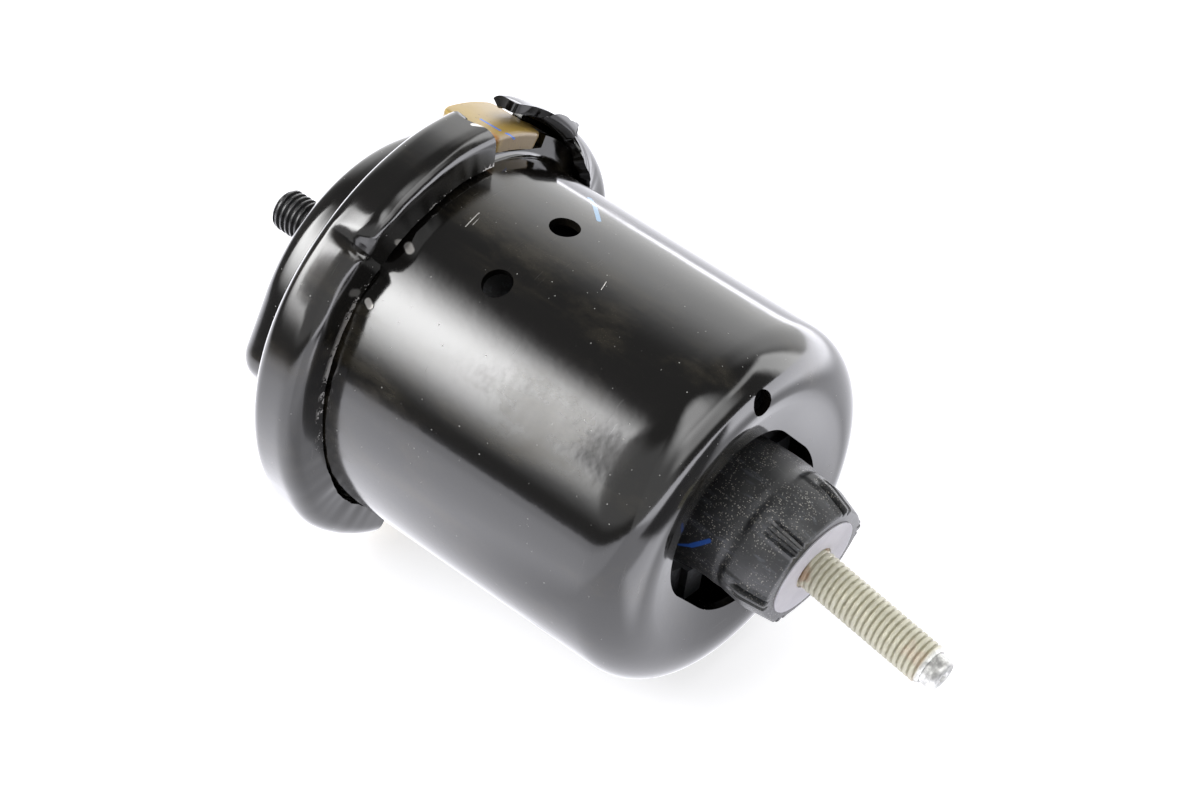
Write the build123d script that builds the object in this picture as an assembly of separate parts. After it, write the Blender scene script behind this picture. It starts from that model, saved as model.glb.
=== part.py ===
from build123d import *
import math
import os

# Hydraulic engine mount, in millimetres, upright as it is installed.
# Z runs from the base to the core's stud, and the origin is the centre of the base's mounting face.
# A deep-drawn can holds a rubber cone on an aluminium core. The base cover closes it below and
# is rolled over the can's flange, the carrier ring and the two halves of the inertia track.
# -Y faces the viewer. Angles about Z are in degrees from +X towards +Y.

# Outer can
can_radius = 44.75
can_wall = 2.0
can_height = 117.1
can_shoulder_radius = 11.5
can_face_slope = 11.0
can_foot_radius = 3.5
flange_width = 5.55

# Opening in the can's face: two half circles and a straight between them, along Y
opening_width = 43.0
opening_straight = 12.0

# Round holes in the can
side_hole_radius = 3.6
side_hole_height = 54.6
side_hole_angles = (251.2, 222.5)
drain_hole_radius = 2.9
drain_hole_inset = 8.15
drain_hole_angle = 230.0

# Base cover and its crimp
base_inset = 5.25
base_wall = 2.5
base_corner_radius = 6.0
base_throat_radius = 2.0
base_flange_height = 16.5
crimp_clearance = 2.6
crimp_lip_overlap = 1.8
crimp_heel_radius = 3.4
crimp_roll_radius = 5.0

# Lobe of the dish, which keeps the mount from turning in its seat
lobe_radius = 7.0
lobe_rise = 2.9
lobe_angle = 318.0

# Gaps in the crimp, where the track plate's tabs stand
window_angles = (204.0, 36.0)
window_span = 24.0
window_floor_margin = 1.25

# Layers that the crimp grips
lower_plate_rim = 3.0
upper_plate_rim = 1.6
carrier_sheet = 1.2

# Tabs of the lower track plate
tab_thickness = 4.3
tab_drop = 8.5
tab_clearance = 0.3
tab_corner_radius = 3.0
tab_edge_radius = 1.2

# Studs in the base
stud_radius = 5.0
stud_end_chamfer = 1.0
stud_relief = 0.5
stud_knurl_rise = 0.5
base_stud_length = 11.3
base_stud_inset = 13.0
base_stud_angles = (263.5, 180.0, 96.5)
stud_head_rim = 1.0
stud_head_height = 3.2

# Locating pin in the base
pin_radius = 3.0
pin_length = 7.0
pin_inset = 16.5
pin_angle = 322.0
pin_head_rim = 2.0
pin_head_height = 2.0

# Core, and its end face that leans with the stud
core_reach = 18.5
lean_to_x = 7.0
lean_to_y = 6.0
core_neck_radius = 12.4
core_shoulder_step = 3.1
core_waist_step = 7.6
core_waist_drop = 18.0
core_foot_step = 1.1
core_foot_drop = 38.0

# Stud in the core
core_stud_length = 37.6
core_stud_engagement = 22.0
pilot_step = 1.1
pilot_length = 3.6
pilot_dimple_radius = 1.5

# Rubber sleeve on the core's neck
sleeve_wall = 4.2
sleeve_end_inset = 0.3
collar_length = 13.0
collar_root_wall = 3.8
collar_end_wall = 2.3
collar_rib_count = 6
collar_rib_first_angle = 265.0
collar_rib_width = 4.6
collar_rib_rise = 1.3
collar_rib_ramp = 1.8

# Rebound stop on the core, and its travel up to the can's face
rebound_travel = 7.0
rebound_plate_width = 18.1
rebound_plate_thickness = 3.0
rebound_buffer_margin = 1.5
rebound_buffer_height = 4.0
rebound_pad_height = 2.0
rebound_pad_width = 6.0
rebound_pad_count = 8

# Rubber cone between carrier ring and core
carrier_gap = 1.25
carrier_height = 21.5
carrier_bend_radius = 2.0
spring_skin = 1.8
spring_lip = 3.0
spring_cavity_step = 7.0
spring_bend_radius = 9.0

# Inertia track between the two plates
track_gap = 4.3
track_height = 5.6
channel_margin = 1.0
channel_width = 8.5
channel_depth = 4.0
channel_gap_span = 34.0
port_radius = 3.2
lower_body_gap = 3.5
lower_body_drop = 4.0

# Decoupler between the plates
membrane_radius = 17.5
membrane_thickness = 2.2
membrane_bead = 3.2
membrane_bead_width = 2.0
grille_hole_radius = 2.0
grille_ring_radius = 9.5
grille_hole_count = 8

# Bellows under the track
bellows_skin = 1.6
bellows_rim_margin = 0.4
bellows_ring_width = 3.6
bellows_ring_thickness = 0.8
bellows_body_gap = 1.1
bellows_stud_gap = 2.3
bellows_crown_gap = 0.9
bellows_fold_width = 8.6
bellows_ramp_width = 6.0
bellows_bend_radius = 3.5

# Seal between upper plate and carrier ring
seal_width = 2.2
seal_depth = 0.9

# Radii that follow from those
stack_radius = can_radius + flange_width
base_radius = can_radius - base_inset
base_stud_circle = base_radius - base_stud_inset
pin_reach = base_radius - pin_inset
lobe_reach = base_radius + lobe_rise - lobe_radius
lobe_half_turn = math.degrees(math.acos((base_radius - lobe_radius) / lobe_reach))
crimp_radius = stack_radius + crimp_clearance + base_wall
crimp_lip_radius = stack_radius - crimp_lip_overlap
window_floor_radius = can_radius + window_floor_margin
tab_outer_radius = window_floor_radius + tab_clearance + tab_thickness
carrier_radius = can_radius - can_wall - carrier_gap
carrier_bore_radius = carrier_radius - carrier_sheet
base_bore_radius = base_radius - base_wall
track_radius = carrier_bore_radius - track_gap
lower_body_radius = base_bore_radius - lower_body_gap
channel_outer_radius = lower_body_radius - channel_margin
channel_inner_radius = channel_outer_radius - channel_width
channel_middle_radius = (channel_outer_radius + channel_inner_radius) / 2
bellows_rim_radius = window_floor_radius - bellows_rim_margin
bellows_fold_radius = lower_body_radius + bellows_body_gap
seal_inner_radius = carrier_radius + carrier_bend_radius
core_shoulder_radius = core_neck_radius + core_shoulder_step
core_waist_radius = core_neck_radius + core_waist_step
core_foot_radius = core_neck_radius + core_foot_step
sleeve_radius = core_neck_radius + sleeve_wall
collar_root_radius = core_neck_radius + collar_root_wall
collar_end_radius = core_neck_radius + collar_end_wall
collar_rib_radius = collar_root_radius + collar_rib_rise
rebound_plate_radius = core_neck_radius + rebound_plate_width

# Heights that follow from those
flange_floor = base_flange_height + base_wall
plate_joint = flange_floor + lower_plate_rim
upper_plate_top = plate_joint + upper_plate_rim
can_flange_bottom = upper_plate_top + carrier_sheet
can_flange_top = can_flange_bottom + can_wall
crimp_top = can_flange_top + base_wall
lower_body_bottom = flange_floor - lower_body_drop
carrier_top = can_flange_bottom + carrier_height
core_end_height = can_height + core_reach

# Outer line of the can's dished face, and the core's shoulder that stops under it
face_rise = math.tan(math.radians(can_face_slope))
face_stretch = math.hypot(1, face_rise)
face_corner_height = can_height + can_shoulder_radius * (face_rise + face_stretch - 1)
face_rim_height = face_corner_height - (can_radius - opening_width / 2) * face_rise
face_underside = face_rim_height - can_wall * face_stretch
rebound_pad_top = face_underside - rebound_travel
rebound_buffer_top = rebound_pad_top - rebound_pad_height
rebound_plate_top = rebound_buffer_top - rebound_buffer_height
core_shoulder_height = rebound_plate_top - rebound_plate_thickness
core_waist_height = core_shoulder_height - core_waist_drop
core_foot_height = core_shoulder_height - core_foot_drop

# The leaning end of the core: Z of this plane is the stud's axis. The collar's root lies under it.
lean = (math.tan(math.radians(lean_to_x)), math.tan(math.radians(lean_to_y)), 1)
core_end_plane = Plane(origin=(0, 0, core_end_height), x_dir=(1, 0, -lean[0]), z_dir=lean)
collar_root_plane = core_end_plane.offset(-collar_length)
neck_centre = (collar_root_plane.origin.X, collar_root_plane.origin.Y, rebound_plate_top)
neck_shift = math.hypot(neck_centre[0], neck_centre[1])


def polar(radius, angle, height=0.0):
    """Point at a radius and an angle in degrees about Z."""
    turn = math.radians(angle)
    return Vector(radius * math.cos(turn), radius * math.sin(turn), height)


def turned(outline):
    """Solid of revolution about Z, from (radius, height) points or from the edges of an outline."""
    if isinstance(outline[0], tuple):
        outline = Polyline(*outline, close=True).edges()
    return revolve(Plane.XZ * make_face(outline), Axis.Z)


def ring(inner, outer, bottom, top):
    """Plain ring about Z."""
    return turned([(inner, bottom), (outer, bottom), (outer, top), (inner, top)])


def rod(radius, bottom, top):
    """Plain cylinder about Z."""
    rise = (Align.CENTER, Align.CENTER, Align.MIN)
    return Pos(0, 0, bottom) * Cylinder(radius, top - bottom, align=rise)


def sector(angle, span, inner, outer, bottom, top):
    """Block between two radii that fills a span of degrees about an angle."""
    start = angle - span / 2
    end = angle + span / 2
    outline = [
        Line(polar(inner, start), polar(outer, start)),
        ThreePointArc(polar(outer, start), polar(outer, angle), polar(outer, end)),
        Line(polar(outer, end), polar(inner, end)),
        ThreePointArc(polar(inner, end), polar(inner, angle), polar(inner, start)),
    ]
    return Pos(0, 0, bottom) * extrude(make_face(outline), top - bottom, dir=(0, 0, 1))


def moved_left(corners, distance):
    """Corners of a path, moved to the left of its course by a distance."""
    points = [Vector(*corner) for corner in corners]
    sides = []
    for start, end in zip(points, points[1:]):
        course = (end - start).normalized()
        sides.append(Vector(-course.Y, course.X))
    moved = [points[0] + sides[0] * distance]
    for point, before, after in zip(points[1:-1], sides, sides[1:]):
        middle = before + after
        moved.append(point + middle * (2 * distance / middle.dot(middle)))
    moved.append(points[-1] + sides[-1] * distance)
    return [(point.X, point.Y) for point in moved]


def sheet(corners, radii, wall):
    """Revolved sheet of even thickness, to the left of a path of (radius, height) corners."""
    left_radii = []
    for before, corner, after, radius in zip(corners, corners[1:], corners[2:], radii):
        bend = (corner[0] - before[0]) * (after[1] - corner[1])
        bend -= (corner[1] - before[1]) * (after[0] - corner[0])
        left_radii.append(radius - wall if bend > 0 else radius + wall)
    right = FilletPolyline(*corners, radius=radii)
    left = FilletPolyline(*moved_left(corners, wall), radius=left_radii)
    ends = [Line(right @ 0, left @ 0), Line(right @ 1, left @ 1)]
    return turned([*right.edges(), *left.edges(), *ends])


def around(piece, angles):
    """Copies of a piece, turned to some angles about Z."""
    return [Rot(0, 0, angle) * piece for angle in angles]


def evenly(count, first=0.0):
    """Angles of a number of places spread evenly about Z."""
    return [first + 360 * index / count for index in range(count)]


def tab_windows(clearance=0.0):
    """Gaps in the crimp and in the layers under it, outside the window floor, less a clearance."""
    span = window_span - 2 * math.degrees(clearance / window_floor_radius)
    inner = window_floor_radius + clearance
    outer = crimp_radius + base_wall
    bottom = flange_floor - tab_drop - tab_clearance
    return [sector(angle, span, inner, outer, bottom, crimp_top) for angle in window_angles]


def make_outer_can():
    """Deep-drawn can: dished face with opening and drain hole, side holes, foot flange."""
    inner_reach = opening_width / 4
    path = [
        (stack_radius, can_flange_top),
        (can_radius, can_flange_top),
        (can_radius, face_corner_height),
        (inner_reach, face_corner_height - (can_radius - inner_reach) * face_rise),
    ]
    can = sheet(path, [can_foot_radius, can_shoulder_radius], can_wall)
    opening = SlotCenterToCenter(opening_straight, opening_width, rotation=90)
    can -= Pos(0, 0, core_shoulder_height) * extrude(opening, can_height)
    side_hole = Rot(0, 90, 0) * rod(side_hole_radius, can_radius / 2, 2 * can_radius)
    can -= around(Pos(0, 0, side_hole_height) * side_hole, side_hole_angles)
    drain_hole = rod(drain_hole_radius, rebound_plate_top, 2 * can_height)
    can -= Pos(polar(can_radius - drain_hole_inset, drain_hole_angle)) * drain_hole
    return can - tab_windows()


def dish_block(inset, corner):
    """Solid in the outline of the dish and its lobe, moved inwards, up to the flange's floor."""
    dish = base_radius - inset
    lobe = lobe_radius - inset
    centre = Vector(lobe_reach, 0)
    flank = [
        polar(dish, lobe_half_turn),
        centre + polar(lobe, lobe_half_turn),
        centre + polar(lobe, -lobe_half_turn),
        polar(dish, -lobe_half_turn),
    ]
    plan = Circle(dish) + make_face(Polyline((0, 0), *flank, close=True)) + Pos(centre) * Circle(lobe)
    block = Pos(0, 0, inset) * extrude(plan, flange_floor - inset, dir=(0, 0, 1))
    return Rot(0, 0, lobe_angle) * fillet(block.edges().group_by(Axis.Z)[0], corner)


def bent_in(cover, height, radius):
    """Cover with the edges at a height rounded, where its dish meets its flange."""
    middle = Vector(0, 0, height)
    level = cover.edges().filter_by_position(Axis.Z, height, height)
    return fillet([edge for edge in level if edge.distance_to(middle) < lobe_reach + lobe_radius], radius)


def make_base_cover():
    """Pressed dish with stud holes, whose flange is rolled over the layers in two segments."""
    path = [
        (base_bore_radius, base_flange_height),
        (crimp_radius, base_flange_height),
        (crimp_radius, crimp_top),
        (crimp_lip_radius, crimp_top),
    ]
    cover = sheet(path, [crimp_heel_radius, crimp_roll_radius], base_wall)
    cover += dish_block(0, base_corner_radius)
    cover -= dish_block(base_wall, base_corner_radius - base_wall)
    cover = bent_in(cover, base_flange_height, base_throat_radius)
    cover = bent_in(cover, flange_floor, base_throat_radius + base_wall)
    stud_hole = rod(stud_radius + stud_knurl_rise, -base_wall, 2 * base_wall)
    cover -= around(Pos(base_stud_circle, 0, 0) * stud_hole, base_stud_angles)
    pin_hole = rod(pin_radius + stud_knurl_rise, -base_wall, 2 * base_wall)
    cover -= Pos(polar(pin_reach, pin_angle)) * pin_hole
    return cover - tab_windows()


def headed_stud(radius, length, head_rim, head_height):
    """Pressed-in stud about Z: shank under the base, knurl through its wall, head on its inner face."""
    return turned(
        [
            (0, -length),
            (radius - stud_end_chamfer, -length),
            (radius, stud_end_chamfer - length),
            (radius, -stud_relief),
            (radius - stud_relief, -stud_relief),
            (radius - stud_relief, 0),
            (radius + stud_knurl_rise, 0),
            (radius + stud_knurl_rise, base_wall),
            (radius + head_rim, base_wall),
            (radius + head_rim, base_wall + head_height),
            (0, base_wall + head_height),
        ]
    )


def make_base_studs():
    """Studs that are pressed through the base from inside."""
    stud = headed_stud(stud_radius, base_stud_length, stud_head_rim, stud_head_height)
    return Compound(children=around(Pos(base_stud_circle, 0, 0) * stud, base_stud_angles))


def make_locating_pin():
    """Pin that keeps the mount from turning while it is bolted down."""
    pin = headed_stud(pin_radius, pin_length, pin_head_rim, pin_head_height)
    return Pos(polar(pin_reach, pin_angle)) * pin


def core_blank():
    """Cast core with its leaning end face, before the hole for the stud."""
    blank = turned(
        [
            (0, core_foot_height),
            (core_foot_radius, core_foot_height),
            (core_waist_radius, core_waist_height),
            (core_shoulder_radius, core_shoulder_height),
            (core_neck_radius, core_shoulder_height),
            (core_neck_radius, core_end_height + core_neck_radius),
            (0, core_end_height + core_neck_radius),
        ]
    )
    return split(blank, bisect_by=core_end_plane, keep=Keep.BOTTOM)


def make_core():
    """Aluminium core with the hole that its stud is pressed into."""
    hole = rod(stud_radius + stud_knurl_rise, -core_stud_engagement, core_neck_radius)
    return core_blank() - core_end_plane.location * hole


def make_core_stud():
    """Long stud with a smooth pilot end and a centre hole, in the core's leaning end."""
    pilot_radius = stud_radius - pilot_step
    pilot_start = core_stud_length - pilot_length
    stud = turned(
        [
            (0, -core_stud_engagement),
            (stud_radius + stud_knurl_rise, -core_stud_engagement),
            (stud_radius + stud_knurl_rise, 0),
            (stud_radius - stud_relief, 0),
            (stud_radius - stud_relief, stud_relief),
            (stud_radius, stud_relief),
            (stud_radius, pilot_start - pilot_step),
            (pilot_radius, pilot_start),
            (pilot_radius, core_stud_length - pilot_step / 2),
            (pilot_radius - pilot_step / 2, core_stud_length),
            (pilot_dimple_radius, core_stud_length),
            (0, core_stud_length - pilot_dimple_radius),
        ]
    )
    return core_end_plane.location * stud


def make_core_sleeve():
    """Rubber neck round the core, from the rebound plate up to a ribbed collar that leans."""
    bottom = -collar_length
    top = -sleeve_end_inset
    collar = turned(
        [
            (0, bottom),
            (collar_root_radius, bottom),
            (collar_root_radius, bottom / 2),
            (collar_end_radius, top),
            (0, top),
        ]
    )
    rib_ring = turned(
        [
            (0, bottom),
            (collar_root_radius, bottom),
            (collar_rib_radius, bottom + collar_rib_ramp),
            (collar_rib_radius, top - collar_rib_ramp),
            (collar_rib_radius - collar_rib_rise, top),
            (0, top),
        ]
    )
    block = Box(2 * collar_root_wall, collar_rib_width, 2 * collar_length)
    rib_block = Pos(collar_rib_radius, 0, 0) * block
    for rib in around(rib_block, evenly(collar_rib_count, collar_rib_first_angle)):
        collar += rib_ring & rib
    neck_foot = Plane(neck_centre) * Circle(sleeve_radius)
    neck = loft([neck_foot, collar_root_plane * Circle(collar_root_radius)])
    return neck + core_end_plane.location * collar - core_blank()


def make_rebound_plate():
    """Steel washer on the core's shoulder, under the can's face."""
    return ring(core_neck_radius, rebound_plate_radius, core_shoulder_height, rebound_plate_top)


def make_rebound_buffer():
    """Rubber ring with pads on the rebound plate, which meets the can's face as the engine lifts."""
    outer = rebound_plate_radius - rebound_buffer_margin
    inner = sleeve_radius + neck_shift + rebound_buffer_margin
    buffer_ring = ring(inner, outer, rebound_plate_top, rebound_buffer_top)
    pad_ring = ring(inner, outer, rebound_plate_top, rebound_pad_top)
    block = Box(outer, rebound_pad_width, 3 * rebound_pad_height)
    pad_block = Pos(outer, 0, rebound_buffer_top) * block
    for pad in around(pad_block, evenly(rebound_pad_count)):
        buffer_ring += pad_ring & pad
    return buffer_ring


def make_carrier_ring():
    """Pressed ring: flange in the crimp, wall up inside the can for the rubber to bond to."""
    path = [
        (stack_radius, can_flange_bottom),
        (carrier_radius, can_flange_bottom),
        (carrier_radius, carrier_top),
    ]
    return sheet(path, [carrier_bend_radius], carrier_sheet) - tab_windows()


def make_main_spring():
    """Rubber cone that carries the engine, bonded to the core's foot and to the carrier ring."""
    foot_bottom = core_foot_height - 2 * spring_skin
    root_bottom = can_flange_bottom + spring_lip
    cavity_radius = carrier_bore_radius - spring_cavity_step
    waist = core_waist_radius + spring_skin
    outline = FilletPolyline(
        (0, foot_bottom),
        (core_foot_radius + spring_skin, foot_bottom),
        (cavity_radius, root_bottom + spring_lip),
        (carrier_bore_radius, root_bottom),
        (carrier_bore_radius, carrier_top - spring_lip),
        (carrier_bore_radius - spring_lip, carrier_top),
        (waist, core_waist_height - core_foot_radius),
        (waist, core_waist_height),
        (core_shoulder_radius + spring_skin, core_shoulder_height),
        (0, core_shoulder_height),
        radius=[0, 2 * spring_skin, 2 * spring_skin, 0, 0, spring_skin, spring_bend_radius, 0, 0, 0],
        close=True,
    )
    return turned(outline.edges()) - core_blank()


def grille_holes():
    """Holes through both track plates, over and under the membrane."""
    hole = rod(grille_hole_radius, 0, can_flange_top + track_height)
    return [hole, *around(Pos(grille_ring_radius, 0, 0) * hole, evenly(grille_hole_count))]


def make_upper_track_plate():
    """Top half of the inertia track: channel open below, port, membrane seat, grille and seal groove."""
    plate = rod(stack_radius, plate_joint, upper_plate_top)
    plate += rod(track_radius, plate_joint, plate_joint + track_height)
    channel_top = plate_joint + channel_depth
    channel = ring(channel_inner_radius, channel_outer_radius, plate_joint, channel_top)
    stop = sector(0, channel_gap_span, channel_width, track_radius, plate_joint, channel_top)
    plate -= channel - stop
    port = Pos(channel_middle_radius, 0, 0) * rod(port_radius, plate_joint, 2 * can_flange_top)
    plate -= Rot(0, 0, channel_gap_span) * port
    plate -= rod(membrane_radius, plate_joint, plate_joint + membrane_bead / 2)
    seal_outer = seal_inner_radius + seal_width
    plate -= ring(seal_inner_radius, seal_outer, upper_plate_top - seal_depth, upper_plate_top)
    plate -= grille_holes()
    return plate - tab_windows()


def make_lower_track_plate():
    """Tan lower half of the inertia track, with two tabs that stand in the crimp's gaps."""
    plate = rod(stack_radius, flange_floor, plate_joint) - tab_windows()
    plate += rod(lower_body_radius, lower_body_bottom, plate_joint)
    blank = ring(window_floor_radius, tab_outer_radius, flange_floor - tab_drop, can_flange_top)
    for window in tab_windows(tab_clearance):
        tab = blank & window
        corners = tab.edges().filter_by(GeomType.LINE).filter_by(Axis.Z, reverse=True)
        tab = fillet(corners, tab_corner_radius)
        outer_edges = tab.faces().filter_by(GeomType.CYLINDER).sort_by(SortBy.AREA)[-1].edges()
        plate += fillet(outer_edges, tab_edge_radius)
    root_inner = window_floor_radius - tab_clearance
    for angle in window_angles:
        root_outer = window_floor_radius + tab_thickness / 2
        plate += sector(angle, window_span / 2, root_inner, root_outer, flange_floor, plate_joint)
    recess = bellows_skin
    plate -= ring(lower_body_radius, bellows_rim_radius, flange_floor, flange_floor + recess)
    plate -= rod(membrane_radius, plate_joint - membrane_bead / 2, plate_joint)
    port = Pos(channel_middle_radius, 0, 0) * rod(port_radius, 0, plate_joint)
    plate -= Rot(0, 0, -channel_gap_span) * port
    return plate - grille_holes()


def make_decoupler_membrane():
    """Rubber disc with a thick rim that the two track plates grip."""
    inner = membrane_radius - membrane_bead_width
    half_web = membrane_thickness / 2
    half_bead = membrane_bead / 2
    membrane = rod(inner, plate_joint - half_web, plate_joint + half_web)
    return membrane + ring(inner, membrane_radius, plate_joint - half_bead, plate_joint + half_bead)


def bellows_ring_inner():
    """Inner radius of the ring at the bellows' rim."""
    return bellows_rim_radius - bellows_ring_width


def make_bellows_ring():
    """Flat steel ring that the rim of the bellows is moulded to."""
    top = flange_floor + bellows_ring_thickness
    return ring(bellows_ring_inner(), bellows_rim_radius, flange_floor, top)


def make_bellows():
    """Rubber diaphragm with one deep fold, from its rim under the track to a raised crown."""
    rim_top = flange_floor + bellows_skin
    fold_floor = base_wall + stud_head_height + bellows_stud_gap + bellows_skin
    crown_top = lower_body_bottom - bellows_crown_gap
    fold_inner = bellows_fold_radius - bellows_fold_width
    path = [
        (bellows_rim_radius, rim_top),
        (bellows_fold_radius, rim_top),
        (bellows_fold_radius, fold_floor),
        (fold_inner, fold_floor),
        (fold_inner - bellows_ramp_width, crown_top),
        (0, crown_top),
    ]
    rim_bend = bellows_skin * 1.5
    radii = [rim_bend, bellows_bend_radius, bellows_bend_radius, bellows_bend_radius]
    return sheet(path, radii, bellows_skin) - make_bellows_ring()


def make_flange_seal():
    """Rubber ring in the upper plate's groove, under the carrier ring."""
    outer = seal_inner_radius + seal_width
    return ring(seal_inner_radius, outer, upper_plate_top - seal_depth, upper_plate_top)


pieces = {
    "outer_can": make_outer_can,
    "base_cover": make_base_cover,
    "base_studs": make_base_studs,
    "locating_pin": make_locating_pin,
    "core": make_core,
    "core_stud": make_core_stud,
    "core_sleeve": make_core_sleeve,
    "rebound_plate": make_rebound_plate,
    "rebound_buffer": make_rebound_buffer,
    "carrier_ring": make_carrier_ring,
    "main_spring": make_main_spring,
    "upper_track_plate": make_upper_track_plate,
    "lower_track_plate": make_lower_track_plate,
    "decoupler_membrane": make_decoupler_membrane,
    "bellows": make_bellows,
    "bellows_ring": make_bellows_ring,
    "flange_seal": make_flange_seal,
}

os.makedirs("parts", exist_ok=True)
for name, make in pieces.items():
    piece = make()
    export_step(piece, f"parts/{name}.step")
    print(f"{name}: {piece.volume:.0f} mm3")
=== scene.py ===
import logging
import math
from dataclasses import dataclass, field
from enum import Enum
from typing import Callable, Iterable, Mapping, Optional, Sequence, Union

import bpy
from mathutils import Matrix, Vector, noise


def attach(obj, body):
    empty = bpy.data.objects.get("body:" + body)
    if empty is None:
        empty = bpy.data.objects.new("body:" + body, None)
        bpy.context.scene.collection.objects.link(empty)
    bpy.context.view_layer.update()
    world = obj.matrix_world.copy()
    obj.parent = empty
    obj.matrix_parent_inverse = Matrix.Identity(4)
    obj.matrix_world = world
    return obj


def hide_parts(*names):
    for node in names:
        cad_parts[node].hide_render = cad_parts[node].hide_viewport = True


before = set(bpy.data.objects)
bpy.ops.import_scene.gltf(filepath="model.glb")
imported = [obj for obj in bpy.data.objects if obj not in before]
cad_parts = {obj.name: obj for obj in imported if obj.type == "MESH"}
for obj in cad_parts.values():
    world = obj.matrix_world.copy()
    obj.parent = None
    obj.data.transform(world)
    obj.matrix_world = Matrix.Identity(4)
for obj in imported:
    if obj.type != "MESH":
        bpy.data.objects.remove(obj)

LOG = logging.getLogger("engine_mount")

MM = 0.001
FULL_TURN = 2 * math.pi
BODY = "root"
Point = tuple[float, float]
Colour = tuple[float, float, float]
Number = Union[float, "Wire"]
Mark = tuple[tuple[float, ...], tuple[float, ...], float]

# Directions in the row frame. The mount lies on its side, so the ground's normal leans out of -X and -Y.
GROUND_UP = Vector((-0.629, -0.768, -0.122)).normalized()
VIEW_AHEAD = Vector((0.0, 0.8981, -0.4399)).normalized()
AWAY = (VIEW_AHEAD - GROUND_UP * VIEW_AHEAD.dot(GROUND_UP)).normalized()
RIGHTWARD = AWAY.cross(GROUND_UP).normalized()

# The core's leaning end: the stud's axis, and the place where it leaves the core
LEAN = Vector((math.tan(math.radians(7.0)), math.tan(math.radians(6.0)), 1.0)).normalized()
CORE_END = Vector((0.0, 0.0, 135.6))

# The point that the lamps aim at and the ground lies under
MOUNT_MIDDLE = Vector((0.0, 0.0, 70.0))

# The largest turn between two points of a rounded corner, in degrees
ARC_STEP = 9.0

# How far a dot or a pen stroke is solid before its edge softens, as a share of its half width
SOLID_SHARE = 0.6


def smooth_step(value: float, low: float, high: float) -> float:
    """Rises from 0 at low to 1 at high, level at both ends."""
    share = min(max((value - low) / (high - low), 0.0), 1.0)
    return share * share * (3 - 2 * share)


def bump(value: float, centre: float, width: float) -> float:
    """A rounded hill of height 1 at a centre."""
    return math.exp(-(((value - centre) / width) ** 2))


def polar(radius: float, angle: float, height: float = 0.0) -> Vector:
    """The point at a radius, an angle in degrees about Z, and a height."""
    turn = math.radians(angle)
    return Vector((radius * math.cos(turn), radius * math.sin(turn), height))


def bearing(point: Vector) -> float:
    """A point's angle about Z, in degrees from 0 to 360."""
    return math.degrees(math.atan2(point.y, point.x)) % 360


def widened(point: Vector, share: float) -> Vector:
    """The point with its distance from Z multiplied by a share."""
    return Vector((point.x * share, point.y * share, point.z))


def standing(place: Vector, across: Vector, upward: Vector, outward: Vector) -> Matrix:
    """The matrix of an object at a place, with its three axes along the given ones."""
    return Matrix.Translation(place) @ Matrix((across, upward, outward)).transposed().to_4x4()


def lean_matrix() -> Matrix:
    """Turns +Z to the stud's axis and moves the origin to the core's end, in millimetres."""
    return Matrix.Translation(CORE_END) @ Vector((0, 0, 1)).rotation_difference(LEAN).to_matrix().to_4x4()


class Wire:
    """A value in a material's nodes, on which Python's operators add Math nodes."""

    def __init__(self, bench: "Bench", socket: bpy.types.NodeSocket) -> None:
        """Wraps an output socket of a bench's nodes."""
        self.bench = bench
        self.socket = socket

    def __add__(self, other: Number) -> "Wire":
        """Sum."""
        return self.bench.maths("ADD", self, other)

    def __radd__(self, other: Number) -> "Wire":
        """Sum with a number on the left."""
        return self.bench.maths("ADD", other, self)

    def __sub__(self, other: Number) -> "Wire":
        """Difference."""
        return self.bench.maths("SUBTRACT", self, other)

    def __rsub__(self, other: Number) -> "Wire":
        """Difference from a number on the left."""
        return self.bench.maths("SUBTRACT", other, self)

    def __mul__(self, other: Number) -> "Wire":
        """Product."""
        return self.bench.maths("MULTIPLY", self, other)

    def __rmul__(self, other: Number) -> "Wire":
        """Product with a number on the left."""
        return self.bench.maths("MULTIPLY", other, self)

    def __pow__(self, other: Number) -> "Wire":
        """Power."""
        return self.bench.maths("POWER", self, other)

    def larger(self, other: Number) -> "Wire":
        """The larger of two values."""
        return self.bench.maths("MAXIMUM", self, other)

    def between(self, low: float, high: float, soft: float) -> "Wire":
        """1 between two values, whose edges are soft for this much on both sides."""
        return self.within(low - soft, low + soft) * self.within(high + soft, high - soft)

    def within(self, low: float, high: float) -> "Wire":
        """Rises from 0 at low to 1 at high, or falls where low is above high.

        Args:
            low: the value that gives 0.
            high: the value that gives 1.

        Returns:
            The share, held between 0 and 1.
        """
        return self.bench.node(
            "ShaderNodeMapRange",
            {"Value": self, "From Min": low, "From Max": high},
            interpolation_type="SMOOTHSTEP",
        )


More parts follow.
